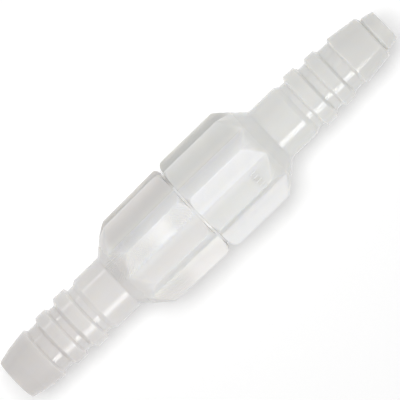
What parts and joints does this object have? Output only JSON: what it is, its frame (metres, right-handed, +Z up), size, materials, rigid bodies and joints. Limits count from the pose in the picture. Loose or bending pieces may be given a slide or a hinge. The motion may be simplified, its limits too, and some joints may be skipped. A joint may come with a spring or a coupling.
{
  "type": "inline check valve",
  "caption": "Inline check valve for soft hose: two screwed plastic halves with spanner flats, a ringed hosetail at each end and a spring-loaded poppet cartridge inside.",
  "frame": {"origin": "centre of the inlet mouth, on the valve axis", "axes": "+X along the valve axis in the direction of flow, from the inlet half to the outlet half with the nose on its tip; +Z up as the valve lies on one ridge of each half; +Y to the left of the flow"},
  "size_m": [0.0871, 0.0186, 0.0186],
  "materials": {
    "body_plastic": "natural translucent moulded polymer, semi-gloss",
    "cartridge_plastic": "white moulded acetal",
    "poppet_plastic": "white moulded acetal",
    "o_ring_rubber": "translucent silicone",
    "seal_rubber": "pale silicone",
    "spring_steel": "drawn stainless wire"
  },
  "bodies": {
    "valve_body": {"inlet_body": "body_plastic", "outlet_body": "body_plastic", "body_o_ring": "o_ring_rubber", "cartridge_housing": "cartridge_plastic", "cartridge_o_ring": "o_ring_rubber", "cartridge_guide": "cartridge_plastic", "spring": "spring_steel"},
    "poppet_assembly": {"poppet": "poppet_plastic", "poppet_seal": "seal_rubber", "poppet_cap": "poppet_plastic"}
  },
  "joints": [
    {"name": "poppet_slide", "type": "slide", "parent": "valve_body", "child": "poppet_assembly", "axis": [1, 0, 0], "range_m": [0, 0.0026], "stiffness_N_per_m": 156, "springref_m": -0.001, "deforming": ["spring"]}
  ]
}
